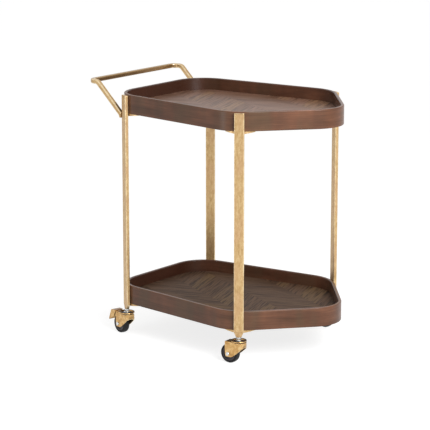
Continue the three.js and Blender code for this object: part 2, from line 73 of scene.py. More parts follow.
# Studio. A lamp has its place, the point it aims at, its width and height, and its watts. The key
# lights the cart from the front right, and the strip draws an upright highlight on the round
# corner beside the near leg. The glow and the sky as seen keep the background white.
KEY_LAMP = ((1800.0, -750.0, 1450.0), (0.0, 0.0, 400.0), 1100.0, 1100.0, 50.0)
STRIP_LAMP = ((-600.0, -1900.0, 420.0), (0.0, 0.0, 450.0), 160.0, 700.0, 2.4)
SKY_LIGHT = 0.54
SKY_SEEN = 1.0
FLOOR_GLOW = 0.8
FLOOR_GREY = "#a4a4a4"
FLOOR_SIZE = 60_000.0
FLOOR_DROP = 0.2

# Trays: corner points of the outline with the radius of each round
TRAY_CORNERS = (
    (-258.0, -175.5, 90.0),
    (176.0, -224.55, 105.0),
    (370.3, 0.0, 85.0),
    (176.0, 224.55, 105.0),
    (-258.0, 175.5, 90.0),
)
RIM_HEIGHT = 50.0
RIM_THICKNESS = 8.5
RIM_TOP_ROUNDING = 2.4
RIM_FOOT_ROUNDING = 0.9
RIM_TOP_STEPS = 5
RIM_FOOT_STEPS = 3
RIM_CORNER_STEPS = 18
UPPER_RIM_TOP = 652.0
LOWER_RIM_TOP = 137.0
TOUCH_GAP = 0.3

# Legs
LEG_WIDTH = 25.4
LEG_DEPTH = 9.5
LEG_ROUNDING = 2.2
LEG_ROUNDING_STEPS = 6
LEG_TOP = 649.0
LEG_CAP = 2.0
LEG_CAP_ROUNDING = 0.9
LEG_CAP_STEPS = 4
LEG_BOTTOM = 84.0
TIP_HEIGHT = 71.0
TIP_WIDTH = 14.0
TIP_DEPTH = 8.5
REAR_FACING = math.radians(117)
FRONT_FACING = math.radians(59)
REAR_HEADING = math.radians(165)
FRONT_HEADING = math.radians(183)

# Push handle
HANDLE_TOP = 680.7
HANDLE_REACH = 342.9
HANDLE_SIZE = 12.0
HANDLE_ROUNDING = 3.0
HANDLE_ROUNDING_STEPS = 6
HANDLE_EDGE_FACE = 0.9
HANDLE_END_BEND = 18.0
HANDLE_ARM_BEND = 16.0
HANDLE_SLOPE = math.radians(44)
HANDLE_LEVEL_RUN = 3.0
HANDLE_TAIL_BOTTOM = 588.0
HANDLE_TAIL_INSET = 4.0
HANDLE_BEND_STEPS = 8

# Corner plates and screws. A plate stands for a solid of PLATE_THICKNESS and is pressed from
# thinner sheet. The arc share is the radius of its outer edge against the tray's round.
PLATE_THICKNESS = 4.0
PLATE_HALF = 38.0
PLATE_CUT = 9.0
PLATE_TAPER = 3.0
PLATE_TAIL_HALF = 15.0
PLATE_REACH = 46.0
PLATE_ARC_CUTS = 11
PLATE_ARC_SHARE = 0.5
PLATE_SHEET = 2.4
PLATE_LIP = 8.0
PLATE_LIP_END = 2.6
PLATE_EDGE = 0.6
SCREW_INSET = 27.0
SCREW_HEAD_RADIUS = 4.2
SCREW_HEAD_HEIGHT = 2.4
SCREW_SLOT_REACH = 2.4
SCREW_SLOT_HALF = 0.45
SCREW_SLOT_DEPTH = 1.3
SCREW_SLOT_OVERRUN = 1.0

# Casters
WHEEL_RADIUS = 25.4
WHEEL_TRAIL = 25.5
CROWN_TOP = 63.5
CROWN_RADIUS = 20.3
FORK_OUTER_HALF = 13.5
FORK_SHEET = 2.1
FORK_TOP = 58.0
FORK_BEND = 2.6
FORK_BEND_STEPS = 5
FORK_FRONT = -15.0
FORK_REAR = 34.5
FORK_EDGE = 0.45
BRAKED_TOP_END = 24.5
SKIRT_INSET = 0.3
SKIRT_BOTTOM = 41.5
SKIRT_RISE = 9.0
SKIRT_EDGE = 0.4
HUB_EDGE = 0.25
STEM_EDGE = 0.2
BRAKE_PIVOT = (32.0, 54.8)


# Modelling tools


def only(piece):
    bpy.ops.object.select_all(action="DESELECT")
    piece.select_set(True)
    bpy.context.view_layer.objects.active = piece


def settle(piece):
    """Puts the piece's place, turn and size into its mesh."""
    only(piece)
    bpy.ops.object.transform_apply(location=True, rotation=True, scale=True)


def pick_all():
    bpy.ops.mesh.select_all(action="SELECT")


def open_mesh(piece):
    only(piece)
    bpy.ops.object.mode_set(mode="EDIT")
    pick_all()


def close_mesh():
    """Joins what touches, turns the faces outwards and leaves edit mode."""
    pick_all()
    bpy.ops.mesh.remove_doubles(threshold=SAME_PLACE * MM)
    bpy.ops.mesh.normals_make_consistent(inside=False)
    bpy.ops.object.mode_set(mode="OBJECT")


def pick(kind, test):
    """Selects the vertices, edges or faces of the open mesh that pass the test."""
    mesh = bpy.context.edit_object.data
    mode = {"verts": "VERT", "edges": "EDGE", "faces": "FACE"}[kind]
    bpy.ops.mesh.select_mode(type=mode)
    bpy.ops.mesh.select_all(action="DESELECT")
    parts = bmesh.from_edit_mesh(mesh)
    for part in getattr(parts, kind):
        if test(part):
            part.select_set(True)
    parts.select_flush_mode()
    bmesh.update_edit_mesh(mesh)


def picked():
    mesh = bmesh.from_edit_mesh(bpy.context.edit_object.data)
    return [vertex.co.copy() for vertex in mesh.verts if vertex.select]


def pick_at(place):
    pick("verts", lambda vertex: (vertex.co - place).length < SAME_PLACE * MM)


def beyond(axis, value):
    """Test for the edges that lie at or beyond this place along an axis."""
    return lambda edge: all(vertex.co[axis] > (value - SLACK) * MM for vertex in edge.verts)


def extrude(vector):
    bpy.ops.mesh.extrude_region_move(TRANSFORM_OT_translate={"value": tuple(vector)})


def move(vector):
    bpy.ops.transform.translate(value=tuple(vector))


def resize(value, centre=(0, 0, 0)):
    bpy.ops.transform.resize(value=value, center_override=centre)


def spin(centre, axis, angle, steps):
    """Sweeps the selection round the axis by the right-hand rule."""
    turn = axis if angle < 0 else -axis
    bpy.ops.mesh.spin(
        steps=steps, angle=abs(angle), center=tuple(centre), axis=tuple(turn), use_auto_merge=False
    )


def round_off(kind, radius, steps):
    """Rounds the picked edges of a block, or the picked corners of a section."""
    bpy.ops.mesh.bevel(offset=radius * MM, segments=steps, affect=kind)


def is_upright(edge):
    low, high = (vertex.co for vertex in edge.verts)
    return abs(low.z - high.z) > abs(low.x - high.x) + abs(low.y - high.y)


def modify(piece, kind, **settings):
    only(piece)
    modifier = piece.modifiers.new(kind.lower(), kind)
    for name, value in settings.items():
        setattr(modifier, name, value)
    bpy.ops.object.modifier_apply(modifier=modifier.name)


def soften(piece, width, segments=3, angle=32):
    """Rounds the sharp edges, if a width is given, and shades all but the flat faces smooth."""
    if width:
        modify(
            piece, "BEVEL", width=width * MM, segments=segments, limit_method="ANGLE",
            angle_limit=math.radians(angle), use_clamp_overlap=True,
        )
    only(piece)
    bpy.ops.object.shade_smooth_by_angle(angle=SMOOTH_ANGLE)
    modify(piece, "WEIGHTED_NORMAL", keep_sharp=True)


def soften_sheet(piece, width):
    """Rounds the cut edges of bent sheet, whose gentler bends stay as they are."""
    soften(piece, width, segments=2, angle=50)


def mirror_sheet(piece):
    """Adds the other side of an open sheet and turns its faces outwards, so its top looks up."""
    modify(
        piece, "MIRROR", use_axis=(False, True, False), use_clip=True, merge_threshold=SAME_PLACE * MM)
    open_mesh(piece)
    close_mesh()
    if sum(face.normal.z for face in piece.data.polygons) < 0:
        open_mesh(piece)
        bpy.ops.mesh.flip_normals()
        bpy.ops.object.mode_set(mode="OBJECT")


def block(name, low, high):
    """A box between two corners, in millimetres."""
    bpy.ops.object.select_all(action="DESELECT")
    middle = [(a + b) / 2 * MM for a, b in zip(low, high)]
    bpy.ops.mesh.primitive_cube_add(size=1, location=middle)
    piece = bpy.context.object
    piece.name = name
    piece.scale = [(b - a) * MM for a, b in zip(low, high)]
    settle(piece)
    return piece


def section(name, place, width, height, turn=(0, 0, 0)):
    """A flat rectangle to sweep along a path, left open for editing."""
    bpy.ops.object.select_all(action="DESELECT")
    bpy.ops.mesh.primitive_plane_add(size=1, location=[v * MM for v in place], rotation=turn)
    piece = bpy.context.object
    piece.name = name
    piece.scale = (width * MM, height * MM, 1)
    settle(piece)
    open_mesh(piece)
    return piece


def keep_outline():
    """Leaves only the outline of the open section, selected and ready to be swept."""
    pick_all()
    bpy.ops.mesh.delete(type="ONLY_FACE")
    pick_all()


def turned(name, profile, facets, rounding=0.0, ring=False):
    """A circle drawn up its profile of radii and heights: every step extrudes the rim and sets
    its radius. A ring goes back to its first point, and the ends of any other are filled."""
    bpy.ops.object.select_all(action="DESELECT")
    radius, height = profile[0]
    bpy.ops.mesh.primitive_circle_add(vertices=facets, radius=radius * MM, location=(0, 0, height * MM))
    piece = bpy.context.object
    piece.name = name
    settle(piece)
    open_mesh(piece)
    for next_radius, next_height in [*profile[1:], profile[0]] if ring else profile[1:]:
        extrude((0, 0, (next_height - height) * MM))
        share = next_radius / radius
        resize((share, share, 1))
        radius, height = next_radius, next_height
    if not ring:
        pick_all()
        bpy.ops.mesh.fill_holes(sides=0)
    close_mesh()
    soften(piece, rounding)
    return piece


def set_down(model, name, matrix):
    """A copy of the model with its own mesh, put in place."""
    piece = model.copy()
    piece.data = model.data.copy()
    piece.name = name
    bpy.context.collection.objects.link(piece)
    piece.matrix_world = matrix
    settle(piece)
    return piece


def put_away(*models):
    """Removes the models that the pieces were copied from."""
    for model in models:
        bpy.data.objects.remove(model)


def two_tone(piece, finish, other, test):
    """Gives the piece one finish, and another on the faces that pass the test."""
    for material in (finish, other):
        piece.data.materials.append(material)
    open_mesh(piece)
    pick("faces", test)
    piece.active_material_index = 1
    bpy.ops.object.material_slot_assign()
    bpy.ops.object.mode_set(mode="OBJECT")


def dress(piece, finish, body, slot, *nodes):
    """Puts the piece under the body it rides on and hides the CAD parts it stands for; a two-tone piece
    brings its own finish.
    """
    if finish:
        piece.data.materials.append(finish)
    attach(piece, body)
    if nodes:
        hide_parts(*nodes)


# Materials


def paint(code):
    """An sRGB hex value as a linear colour."""
    channels = [int(code[i:i + 2], 16) / 255 for i in (1, 3, 5)]
    linear = [c / 12.92 if c <= 0.04045 else ((c + 0.055) / 1.055) ** 2.4 for c in channels]
    return (*linear, 1.0)


def add_node(tree, kind, inputs=None, **settings):
    """A node with its settings, its values and the links into it."""
    made = tree.nodes.new(kind)
    for name, value in settings.items():
        setattr(made, name, value)
    for socket, value in (inputs or {}).items():
        if isinstance(value, bpy.types.NodeSocket):
            tree.links.new(value, made.inputs[socket])
        else:
            made.inputs[socket].default_value = value
    return made


def new_material(name):
    material = bpy.data.materials.new(name)
    material.use_nodes = True
    material.node_tree.nodes.clear()
    return material, material.node_tree


def finish_with(tree, inputs):
    surface = add_node(tree, "ShaderNodeBsdfPrincipled", inputs)
    add_node(tree, "ShaderNodeOutputMaterial", {"Surface": surface.outputs["BSDF"]})


def place_on_piece(tree, scale=(1, 1, 1), turn=(0, 0, 0)):
    """Place on the piece in metres, stretched and turned for a pattern."""
    where = add_node(tree, "ShaderNodeTexCoord").outputs["Object"]
    return add_node(
        tree, "ShaderNodeMapping", {"Vector": where, "Scale": scale, "Rotation": turn}
    ).outputs["Vector"]


def noise(tree, vector, scale, detail=3.0, roughness=0.55):
    return add_node(
        tree, "ShaderNodeTexNoise",
        {"Vector": vector, "Scale": scale, "Detail": detail, "Roughness": roughness},
    ).outputs["Fac"]


def ramp(tree, factor, *stops):
    """Colours blended along a factor, from pairs of position and colour."""
    made = add_node(tree, "ShaderNodeValToRGB", {"Fac": factor})
    points = made.color_ramp.elements
    while len(points) < len(stops):
        points.new(0.5)
    for point, (position, colour) in zip(points, stops):
        point.position = position
        point.color = paint(colour) if isinstance(colour, str) else (colour, colour, colour, 1)
    return made.outputs["Color"]


def mix(tree, factor, low, high):
    """Mixes two colours, which the node takes on inputs 6 and 7 and gives out on output 2."""
    made = add_node(tree, "ShaderNodeMix", {0: factor, 6: low, 7: high}, data_type="RGBA")
    return made.outputs[2]


def number(tree, operation, *values):
    made = add_node(tree, "ShaderNodeMath", dict(enumerate(values)), operation=operation)
    return made.outputs["Value"]


def spread(tree, value, start, end, low, high):
    """A factor that goes from low to high while the value goes from start to end."""
    return add_node(tree, "ShaderNodeMapRange", {
        "Value": value, "From Min": start, "From Max": end, "To Min": low, "To Max": high,
    }).outputs["Result"]


def axis_of(tree, vector, axis):
    return add_node(tree, "ShaderNodeSeparateXYZ", {"Vector": vector}).outputs[axis]


def vector_math(tree, operation, first, second, output):
    made = add_node(tree, "ShaderNodeVectorMath", {0: first, 1: second}, operation=operation)
    return made.outputs[output]


def surface_normal(tree):
    return add_node(tree, "ShaderNodeNewGeometry").outputs["Normal"]


def bump(tree, height, depth, strength):
    """Relief of this depth in millimetres."""
    return add_node(
        tree, "ShaderNodeBump", {"Height": height, "Distance": depth * MM, "Strength": strength}
    ).outputs["Normal"]


def per_mm(size):
    """Scale at which a noise or wave repeats at about this size in millimetres."""
    return 1 / (size * MM)


# Sizes of the patterns. The rims' fibre lines and the veneer's pore lines are drawn coarser than
# real ones, so that they show. The shift sets one strip's pore lines apart from the next's.
LEAF_PATCH = 6.0
LEAF_TINT = 26.0
LEAF_FLECK = 1.7
BRASS_CLOUD = 10.0
BRASS_FLECK = 1.4
ZINC_CLOUD = 3.0
RUBBER_DUST = 1.2
NYLON_GRAIN = 0.9
FIBRE_LENGTH = 110.0
FIBRE_WIDTH = 1.5
FIGURE_LENGTH = 130.0
FIGURE_WIDTH = 20.0
STAIN_BLOTCH = 38.0
STAIN_OLIVE = 62.0
VENEER_BAND = 108.0
VENEER_STRIP = 31.0
VENEER_TURN = math.radians(25)
VENEER_SEAM_SHARE = 0.01
PORE_LENGTH = 120.0
PORE_SPACING = 6.0
PORE_SHIFT = 40.0

# Where along the cart the push bar's painted shade and the inner walls' painted shade set in and are
# full
BAR_SHADE_STARTS = -322.0
BAR_SHADE_FULL = -334.0
WALL_SHADE_STARTS = -160.0
WALL_SHADE_FULL = -250.0

# Caster sheet: four tones from the darkest cloud to the brightest, then the flecks
BRASS = ("#ab834e", "#c29a62", "#cfaa73", "#dcbf8b", "#94703c")
# Rubbed brass: worn edges and painted highlight, for cut edges and the skirt's hem
RUBBED_AND_HIGHLIT_BRASS = ("#caa56c", "#dfbf88", "#ecd3a2", "#f5e3bb", "#b98f55")
# Shaded brass: darker tones, painted shade for the pedal's top
SHADED_BRASS = ("#5d3c20", "#76502c", "#8a6338", "#a57c4c", "#40280f")

# Veneer: four tones from the darkest strip to the yellowest, then the pores, with the roughness
# and the gloss of its lacquer. The lower board's tones are darker as painted shade, and it is
# less glossy.
UPPER_VENEER = (("#6c4d3b", "#7b5a47", "#866453", "#8a684d", "#432a1c"), 0.4, 0.3)
LOWER_SHADED_VENEER = (("#4c3728", "#543e2e", "#5b4535", "#624c35", "#26170d"), 0.62, 0.16)


def antique_gold_leaf(name, wear_and_highlight, smoothest, roughest, stretch=(1, 1, 0.45), shaded_side=(0, 0, -1),
                      bar_shade=0.0):
    """Steel under antique gold leaf paint. Fine stretched patches of pale, pink and olive gold
    show the leaf and dark flecks the glazing in its pits. The faces that look towards the shaded
    side are painted dark brown, which is painted shade. The wear-and-highlight share brightens
    rounded edges, as wear where hands rub the glazing away and as a painted highlight, and the
    bar shade darkens the push bar alone, which is painted shade."""
    material, tree = new_material(name)
    where = place_on_piece(tree)
    stretched = place_on_piece(tree, stretch)
    leaf_patches = noise(tree, stretched, per_mm(LEAF_PATCH), 5.0, 0.68)
    speckle = noise(tree, where, per_mm(LEAF_FLECK), 3.0, 0.7)
    tint = noise(tree, stretched, per_mm(LEAF_TINT), 2.0, 0.5)
    leaf = ramp(
        tree, leaf_patches,
        (0.3, "#ab895a"), (0.44, "#c09f6e"), (0.56, "#ccae7e"), (0.72, "#d8bc8e"),
    )
    toned = mix(tree, ramp(tree, tint, (0.44, 0.0), (0.64, 0.45)), leaf, paint("#c39c76"))
    colour = mix(tree, ramp(tree, speckle, (0.52, 0.0), (0.68, 0.5)), toned, paint("#997646"))
    # Painted shade: the push bar is mixed towards a darker brown
    if bar_shade:
        along = axis_of(tree, where, "X")
        bar = spread(tree, along, BAR_SHADE_STARTS * MM, BAR_SHADE_FULL * MM, 0.0, bar_shade)
        colour = mix(tree, bar, colour, paint("#977c55"))
    # Painted shade: faces that look towards the shaded side are mixed towards dark brown
    lean = vector_math(tree, "DOT_PRODUCT", surface_normal(tree), shaded_side, "Value")
    colour = mix(tree, spread(tree, lean, 0.15, 0.85, 0.0, 0.66), colour, paint("#6f4d2c"))
    # Wear and painted highlight: rounded edges are mixed towards pale gold
    if wear_and_highlight:
        bare_and_highlight = ramp(tree, leaf_patches, (0.35, 0.3 * wear_and_highlight), (0.6, wear_and_highlight))
        colour = mix(tree, bare_and_highlight, colour, paint("#f0dcb4"))
    finish_with(tree, {
        "Base Color": colour, "Metallic": 0.8,
        "Roughness": spread(tree, speckle, 0.0, 1.0, smoothest, roughest),
        "Normal": bump(tree, speckle, 0.05, 0.35),
    })
    return material


def antique_brass_plate(name, tones, under_shade):
    """Pressed caster sheet in antique brass: glossier than the leaf and faintly clouded. The
    under shade is the share of dark brown painted on the downward faces, which is painted shade."""
    material, tree = new_material(name)
    where = place_on_piece(tree)
    cloud = noise(tree, where, per_mm(BRASS_CLOUD), 3.0, 0.55)
    speckle = noise(tree, where, per_mm(BRASS_FLECK), 3.0, 0.7)
    dark, middle, light, bright, fleck = tones
    plate = ramp(tree, cloud, (0.3, dark), (0.46, middle), (0.58, light), (0.72, bright))
    flecked = mix(tree, ramp(tree, speckle, (0.58, 0.0), (0.72, 0.3)), plate, paint(fleck))
    # Painted shade: downward faces are mixed towards dark brown
    lean = axis_of(tree, surface_normal(tree), "Z")
    under = spread(tree, lean, -0.1, -0.8, 0.0, under_shade)
    finish_with(tree, {
        "Base Color": mix(tree, under, flecked, paint("#4f331a")), "Metallic": 0.9,
        "Roughness": spread(tree, cloud, 0.0, 1.0, 0.16, 0.36),
        "Normal": bump(tree, speckle, 0.04, 0.25),
    })
    return material


def zinc_plated_steel():
    """Bright zinc plating on steel: cool grey with a slightly clouded sheen."""
    material, tree = new_material("zinc_plated_steel")
    cloud = noise(tree, place_on_piece(tree), per_mm(ZINC_CLOUD), 3.0)
    finish_with(tree, {
        "Base Color": ramp(tree, cloud, (0.35, "#b9bcbd"), (0.65, "#dcdedd")),
        "Metallic": 1.0, "Roughness": 0.3,
    })
    return material


def level_grain(tree, length, width):
    """Place for a pattern that runs level, this long and this wide."""
    return place_on_piece(tree, (per_mm(length), per_mm(length), per_mm(width)))


def stained_walnut_rim():
    """Bent walnut rims, stained dark red brown under satin lacquer. The fibre runs level round
    the rim and the stain has darker and olive patches. The inner walls are painted near black as
    painted shade, darkest at the handle end, and the upward faces of the top edge are a little
    paler as a painted highlight."""
    material, tree = new_material("stained_walnut_rim")
    where = place_on_piece(tree)
    fibre = noise(tree, level_grain(tree, FIBRE_LENGTH, FIBRE_WIDTH), 1.0, 4.0, 0.62)
    figure = noise(tree, level_grain(tree, FIGURE_LENGTH, FIGURE_WIDTH), 1.0, 3.0, 0.55)
    blotch = noise(tree, place_on_piece(tree, (1, 1, 0.3)), per_mm(STAIN_BLOTCH), 2.0, 0.5)
    olive = noise(tree, place_on_piece(tree, (1, 1, 0.25)), per_mm(STAIN_OLIVE), 2.0, 0.5)
    body = ramp(tree, figure, (0.3, "#54341f"), (0.5, "#6c4530"), (0.7, "#7d523a"))
    blotched = mix(tree, ramp(tree, blotch, (0.4, 0.0), (0.65, 0.45)), body, paint("#4e3424"))
    stained = mix(tree, ramp(tree, olive, (0.46, 0.0), (0.62, 0.5)), blotched, paint("#574631"))
    lines = ramp(tree, fibre, (0.36, 1.0), (0.5, 0.35), (0.66, 0.0))
    grained = mix(tree, number(tree, "MULTIPLY", lines, 0.45), stained, paint("#3b2217"))
    normal = surface_normal(tree)
    # Painted shade: inner walls are mixed towards near black, most at the handle end
    from_middle = vector_math(tree, "MULTIPLY", where, (1, 1, 0), "Vector")
    outward = vector_math(tree, "DOT_PRODUCT", normal, from_middle, "Value")
    along = axis_of(tree, where, "X")
    depth = spread(tree, along, WALL_SHADE_STARTS * MM, WALL_SHADE_FULL * MM, 0.52, 0.86)
    inside = spread(tree, outward, 0.01, -0.05, 0.0, depth)
    wall_shaded = mix(tree, inside, grained, paint("#32170d"))
    # Painted highlight: the upward faces of the top edge are mixed a little paler
    edge = spread(tree, axis_of(tree, normal, "Z"), 0.6, 0.97, 0.0, 0.12)
    finish_with(tree, {
        "Base Color": mix(tree, edge, wall_shaded, paint("#7a5d4c")),
        "Roughness": 0.32, "Specular IOR Level": 0.35, "Normal": bump(tree, fibre, 0.06, 0.4),
    })
    return material


def chevron_walnut_veneer(name, tones, roughness, gloss):
    """Walnut veneer strips laid in a chevron: bands whose strips lean to alternate sides, each
    strip its own shade, with dark pore lines and a few pale streaks along it."""
    material, tree = new_material(name)
    where = place_on_piece(tree, turn=(0, 0, VENEER_TURN))
    lengthwise = axis_of(tree, where, "X")
    crosswise = number(tree, "ADD", axis_of(tree, where, "Y"), VENEER_BAND * MM / 2)
    folded = number(tree, "PINGPONG", crosswise, VENEER_BAND * MM)
    lean = number(tree, "ADD", lengthwise, folded)
    along = number(tree, "SUBTRACT", lengthwise, folded)
    count = number(tree, "DIVIDE", lean, VENEER_STRIP * math.sqrt(2) * MM)
    strip = number(tree, "FLOOR", count)
    band = number(tree, "FLOOR", number(tree, "DIVIDE", crosswise, VENEER_BAND * MM))
    which = add_node(tree, "ShaderNodeCombineXYZ", {"X": strip, "Y": band}).outputs["Vector"]
    shade = add_node(
        tree, "ShaderNodeTexWhiteNoise", {"Vector": which}, noise_dimensions="2D"
    ).outputs["Value"]
    apart = number(tree, "MULTIPLY", shade, PORE_SHIFT)
    fibre_place = add_node(tree, "ShaderNodeCombineXYZ", {
        "X": number(tree, "MULTIPLY", along, per_mm(PORE_LENGTH)),
        "Y": number(tree, "MULTIPLY", lean, per_mm(PORE_SPACING)), "Z": apart,
    }).outputs["Vector"]
    fibre = noise(tree, fibre_place, 1.0, 3.0, 0.6)
    dark, middle, light, yellow, pore = tones
    body = ramp(tree, shade, (0.0, dark), (0.35, middle), (0.7, light), (1.0, yellow))
    pores = ramp(tree, fibre, (0.38, 0.9), (0.47, 0.35), (0.56, 0.0))
    grained = mix(tree, pores, body, paint(pore))
    streaks = ramp(tree, fibre, (0.58, 0.0), (0.72, 0.35))
    streaked = mix(tree, streaks, grained, paint(yellow))
    to_seam = number(tree, "PINGPONG", number(tree, "FRACT", count), 0.5)
    seam = number(tree, "LESS_THAN", to_seam, VENEER_SEAM_SHARE)
    seamed = mix(tree, number(tree, "MULTIPLY", seam, 0.5), streaked, paint(pore))
    finish_with(tree, {
        "Base Color": seamed, "Roughness": roughness, "Specular IOR Level": gloss,
        "Normal": bump(tree, fibre, 0.04, 0.3),
    })
    return material


def black_rubber():
    """Moulded rubber tyre: charcoal, matt, with a dusty grain."""
    material, tree = new_material("black_rubber")
    dust = noise(tree, place_on_piece(tree), per_mm(RUBBER_DUST), 4.0)
    finish_with(tree, {
        "Base Color": ramp(tree, dust, (0.35, "#0c0c0d"), (0.7, "#1a1a1c")),
        "Roughness": 0.6, "Specular IOR Level": 0.3, "Normal": bump(tree, dust, 0.08, 0.5),
    })
    return material


def black_nylon():
    """Moulded nylon hub: near black with a low sheen."""
    material, tree = new_material("black_nylon")
    grain = noise(tree, place_on_piece(tree), per_mm(NYLON_GRAIN), 3.0)
    finish_with(tree, {
        "Base Color": ramp(tree, grain, (0.3, "#262026"), (0.7, "#3f363d")),
        "Roughness": 0.42, "Normal": bump(tree, grain, 0.04, 0.35),
    })
    return material


# Camera, floor and light


def build_camera():
    data = bpy.data.cameras.new("camera")
    data.sensor_width = SENSOR_WIDTH
    data.sensor_fit = "HORIZONTAL"
    data.lens = SENSOR_WIDTH * FOCAL_PIXELS / PICTURE_WIDTH
    data.clip_end = CAMERA_FAR_CLIP * MM
    camera = bpy.data.objects.new("camera", data)
    bpy.context.collection.objects.link(camera)
    camera.location = [v * MM for v in CAMERA_PLACE]
    camera.rotation_euler = (math.pi / 2 - CAMERA_PITCH, 0, CAMERA_AZIMUTH)
    bpy.context.scene.camera = camera


def seen_directly(tree):
    """1 for what the camera, a gloss or a clear surface sees, 0 for the light on the object."""
    rays = add_node(tree, "ShaderNodeLightPath").outputs
    direct = number(tree, "MAXIMUM", rays["Is Camera Ray"], rays["Is Glossy Ray"])
    return number(tree, "MAXIMUM", direct, rays["Is Transmission Ray"])


def build_floor():
    bpy.ops.object.select_all(action="DESELECT")
    bpy.ops.mesh.primitive_plane_add(size=FLOOR_SIZE * MM, location=(0, 0, -FLOOR_DROP * MM))
    floor = bpy.context.object
    floor.name = "floor"
    material, tree = new_material("white_studio_floor")
    lit = add_node(tree, "ShaderNodeBsdfDiffuse", {"Color": paint(FLOOR_GREY)})
    glow = number(tree, "MULTIPLY", seen_directly(tree), FLOOR_GLOW)
    white = add_node(tree, "ShaderNodeEmission", {"Color": paint("#ffffff"), "Strength": glow})
    both = add_node(tree, "ShaderNodeAddShader", {0: lit.outputs["BSDF"], 1: white.outputs["Emission"]})
    add_node(tree, "ShaderNodeOutputMaterial", {"Surface": both.outputs["Shader"]})
    floor.data.materials.append(material)


def build_lamp(name, place, aim, width, height, watts):
    data = bpy.data.lights.new(name, "AREA")
    data.shape = "RECTANGLE"
    data.size = width * MM
    data.size_y = height * MM
    data.energy = watts
    light = bpy.data.objects.new(name, data)
    bpy.context.collection.objects.link(light)
    place, aim = (Vector([v * MM for v in point]) for point in (place, aim))
    light.location = place
    light.visible_camera = False
    light.rotation_euler = (aim - place).to_track_quat("-Z", "Y").to_euler()


def build_light():
    world = bpy.data.worlds.new("studio")
    bpy.context.scene.world = world
    world.use_nodes = True
    tree = world.node_tree
    tree.nodes.clear()
    strength = spread(tree, seen_directly(tree), 0.0, 1.0, SKY_LIGHT, SKY_SEEN)
    sky = add_node(tree, "ShaderNodeBackground", {"Color": paint("#ffffff"), "Strength": strength})
    add_node(tree, "ShaderNodeOutputWorld", {"Surface": sky.outputs["Background"]})
    build_lamp("key", *KEY_LAMP)
    build_lamp("strip", *STRIP_LAMP)


# Trays


def toward(angle):
    return Vector((math.cos(angle), math.sin(angle)))


def corner_rounds():
    """Centre, radius, first angle and turn of each round corner of the trays."""
    found = []
    for i, (x, y, radius) in enumerate(TRAY_CORNERS):
        here = Vector((x, y))
        inward = (Vector(TRAY_CORNERS[i - 1][:2]) - here).normalized()
        onward = (Vector(TRAY_CORNERS[(i + 1) % len(TRAY_CORNERS)][:2]) - here).normalized()
        half = inward.angle(onward) / 2
        centre = here + (inward + onward).normalized() * radius / math.sin(half)
        start = math.atan2(-inward.x, inward.y) + math.pi
        found.append((centre, radius, start, math.pi - 2 * half))
    return found


ROUNDS = corner_rounds()


def build_rim(name, top):
    """A rounded strip section, drawn along each wall and spun round each corner."""
    end_x = TRAY_CORNERS[0][0]
    middle = top - RIM_HEIGHT / 2
    rim = section(
        name, (end_x + RIM_THICKNESS / 2, 0, middle), RIM_THICKNESS, RIM_HEIGHT, (math.pi / 2, 0, 0))
    pick("verts", lambda vertex: vertex.co.z > middle * MM)
    round_off("VERTICES", RIM_TOP_ROUNDING, RIM_TOP_STEPS)
    pick("verts", lambda vertex: vertex.co.z < (top - RIM_HEIGHT + RIM_FOOT_ROUNDING) * MM)
    round_off("VERTICES", RIM_FOOT_ROUNDING, RIM_FOOT_STEPS)
    keep_outline()
    at = Vector((end_x, 0))
    for centre, radius, start, turn in ROUNDS:
        arc_start = centre + radius * toward(start)
        extrude(((arc_start - at) * MM).to_3d())
        spin((centre * MM).to_3d(), UP, turn, RIM_CORNER_STEPS)
        at = centre + radius * toward(start + turn)
    extrude(((Vector((end_x, 0)) - at) * MM).to_3d())
    close_mesh()
    soften(rim, 0)
    return rim


def build_trays(rim_finish):
    """New rims. The boards keep their CAD solids and get the veneer."""
    # The lower veneer's darker tones are painted shade
    trays = (("upper", UPPER_RIM_TOP, UPPER_VENEER), ("lower", LOWER_RIM_TOP, LOWER_SHADED_VENEER))
    for level, top, veneer in trays:
        rim = build_rim(f"{level}_rim", top)
        dress(rim, rim_finish, "root", "dark_wood_rim", f"{level}_tray_rim")
        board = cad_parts[f"{level}_tray_floor"]
        board.data.materials.clear()
        board.data.materials.append(chevron_walnut_veneer(f"{level}_chevron_walnut_veneer", *veneer))


# Places of the legs and casters


# Name, number of the tray's round, the way the leg faces, the caster's heading, brake or none
CORNERS = (
    ("rear_right", 0, -REAR_FACING, REAR_HEADING, True),
    ("front_right", 1, -FRONT_FACING, FRONT_HEADING, False),
    ("front_left", 3, FRONT_FACING, -FRONT_HEADING, False),
    ("rear_left", 4, REAR_FACING, -REAR_HEADING, True),
)


def leg_centre(which, facing):
    centre, radius, _, _ = ROUNDS[which]
    reach = radius + TOUCH_GAP + LEG_DEPTH / 2
    return centre + reach * toward(facing)


def standing(which, facing, turn):
    place = (leg_centre(which, facing) * MM).to_3d()
    return Matrix.Translation(place) @ Matrix.Rotation(turn, 4, "Z")


# Legs


def is_rounding(face):
    """Faces of the rounded upright edges, which face neither straight out nor sideways."""
    return max(abs(value) for value in face.normal) < LEG_FLAT


def leg_block(name, bottom, top):
    """A block of the leg's section between two heights, left open for editing."""
    piece = block(
        name, (-LEG_WIDTH / 2, -LEG_DEPTH / 2, bottom), (LEG_WIDTH / 2, LEG_DEPTH / 2, top))
    open_mesh(piece)
    return piece


def round_uprights():
    pick("edges", is_upright)
    round_off("EDGES", LEG_ROUNDING, LEG_ROUNDING_STEPS)


